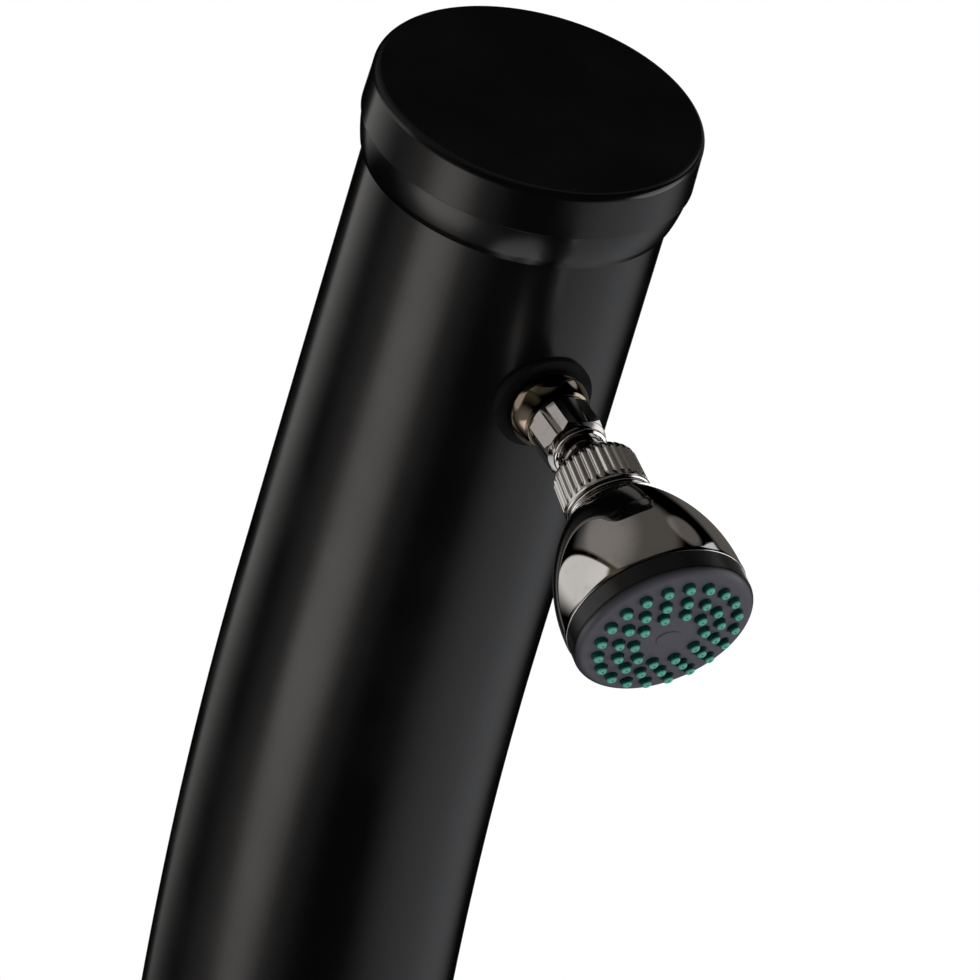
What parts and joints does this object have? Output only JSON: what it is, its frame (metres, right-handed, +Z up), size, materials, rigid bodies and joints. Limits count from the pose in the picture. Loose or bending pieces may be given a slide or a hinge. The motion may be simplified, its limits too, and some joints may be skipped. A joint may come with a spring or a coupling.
{
  "type": "outdoor shower post",
  "caption": "Curved black tank post on a round bolted foot with single-lever mixer, foot tap, rear hose inlet and drain, and a chrome ball-joint shower head under its leaning top.",
  "frame": {"origin": "centre of the foot on the ground", "axes": "+Z up the post; the post leans and sprays towards -Y; the bend lies in the plane X = 0"},
  "size_m": [0.26, 0.5336, 2.1726],
  "materials": {
    "black_tube": "semi-gloss black extruded plastic tube",
    "coupling_plastic": "satin black moulded plastic",
    "foot_plastic": "fine-grained black moulding",
    "seal_rubber": "matt black rubber",
    "chrome": "polished chrome plating",
    "brass": "turned brass",
    "steel": "stainless steel",
    "cartridge_plastic": "natural white moulded plastic",
    "index_plastic": "plain grey cover plug",
    "hose_plastic": "reinforced hose",
    "face_plastic": "satin blue-black moulded face",
    "nozzle_silicone": "teal silicone"
  },
  "bodies": {
    "post": {"lower_tube": "black_tube", "upper_tube": "black_tube", "top_cap": "black_tube", "coupling_spigot": "coupling_plastic", "coupling_sleeve": "coupling_plastic", "union_nut": "coupling_plastic", "lower_end_plug": "coupling_plastic", "drain_seat": "coupling_plastic", "drain_plug": "coupling_plastic", "base_foot": "foot_plastic", "coupling_ring_seal": "seal_rubber", "mixer_gasket": "seal_rubber", "foot_tap_washer": "seal_rubber", "inlet_washer": "seal_rubber", "drain_gasket": "seal_rubber", "arm_washer": "seal_rubber", "mixer_body": "chrome", "mixer_dome": "chrome", "foot_tap_body": "chrome", "foot_tap_outlet": "chrome", "arm_nipple": "chrome", "ball_stud": "chrome", "mixer_backnuts": "brass", "cartridge_nut": "brass", "foot_tap_backnut": "brass", "inlet_nipple": "brass", "inlet_backnut": "brass", "inlet_tee": "brass", "arm_backnut": "brass", "arm_hose_tail": "brass", "socket_screws": "steel", "inlet_filter": "steel", "hose_clamps": "steel", "mixer_cartridge": "cartridge_plastic", "hot_pickup_hose": "hose_plastic", "riser_hose": "hose_plastic", "cold_feed_hose": "hose_plastic", "foot_feed_hose": "hose_plastic"},
    "mixer_turn": {"cartridge_carrier": "cartridge_plastic", "stem_pin": "steel"},
    "mixer_lift": {"mixer_stem": "brass", "mixer_lever": "chrome", "lever_index_plug": "index_plastic", "lever_grub_screw": "steel"},
    "foot_handle": {"foot_tap_handle": "chrome", "foot_tap_spindle": "brass", "foot_tap_screw": "steel"},
    "arm_swivel": {"neck_ring": "chrome"},
    "ball_tilt": {"ball_seal": "seal_rubber"},
    "head": {"head_bell": "chrome", "flow_restrictor": "cartridge_plastic", "water_guide": "cartridge_plastic", "face_seal": "seal_rubber", "face_plate": "face_plastic", "nozzle_mat": "nozzle_silicone"},
    "lock_collar": {"collar": "chrome"}
  },
  "joints": [
    {"name": "mixer_turn", "type": "hinge", "parent": "post", "child": "mixer_turn", "pos_m": [0, -0.104, 1.13], "axis": [0, -1, 0], "range_deg": [-45, 45]},
    {"name": "mixer_lift", "type": "hinge", "parent": "mixer_turn", "child": "mixer_lift", "pos_m": [0, -0.104, 1.13], "axis": [1, 0, 0], "range_deg": [0, 20]},
    {"name": "foot_tap_turn", "type": "hinge", "parent": "post", "child": "foot_handle", "pos_m": [0, -0.11, 0.33], "axis": [0, -1, 0], "range_deg": [0, 90]},
    {"name": "arm_swivel", "type": "hinge", "parent": "post", "child": "arm_swivel", "pos_m": [0, -0.32068, 1.9956], "axis": [0, -0.8616, -0.5075], "continuous": true},
    {"name": "ball_tilt", "type": "hinge", "parent": "arm_swivel", "child": "ball_tilt", "pos_m": [0, -0.32068, 1.9956], "axis": [1, 0, 0], "range_deg": [-42.8, 13]},
    {"name": "head_spin", "type": "hinge", "parent": "ball_tilt", "child": "head", "pos_m": [0, -0.32068, 1.9956], "axis": [0, -0.7022, -0.712], "continuous": true},
    {"name": "collar_turn", "type": "hinge", "parent": "head", "child": "lock_collar", "pos_m": [0, -0.32068, 1.9956], "axis": [0, -0.7022, -0.712], "range_deg": [-120, 0]}
  ]
}
